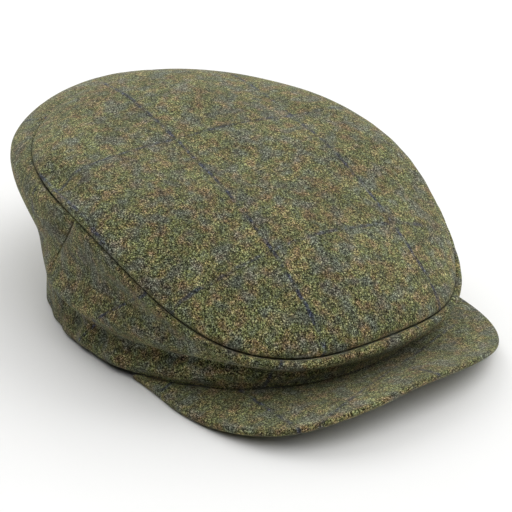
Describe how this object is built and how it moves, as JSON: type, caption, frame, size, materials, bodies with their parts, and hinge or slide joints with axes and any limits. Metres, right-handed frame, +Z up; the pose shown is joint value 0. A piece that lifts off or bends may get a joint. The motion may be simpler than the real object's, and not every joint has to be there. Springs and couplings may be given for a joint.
{
  "type": "tweed flat cap",
  "caption": "Low rounded flat cap in checked heather tweed, with a domed top panel, a deep side band and a stiff arched peak.",
  "frame": {"origin": "on the resting plane, under the middle of the cap's length and width", "axes": "+Z up from the surface it rests on, -Y towards the peak, +X towards the wearer's left"},
  "size_m": [0.1834, 0.2682, 0.0877],
  "materials": {
    "tweed": "brushed heather wool with a thin overcheck"
  },
  "bodies": {
    "root": {"crown_top": "tweed", "band_front": "tweed", "band_back": "tweed", "peak": "tweed"}
  },
  "joints": []
}
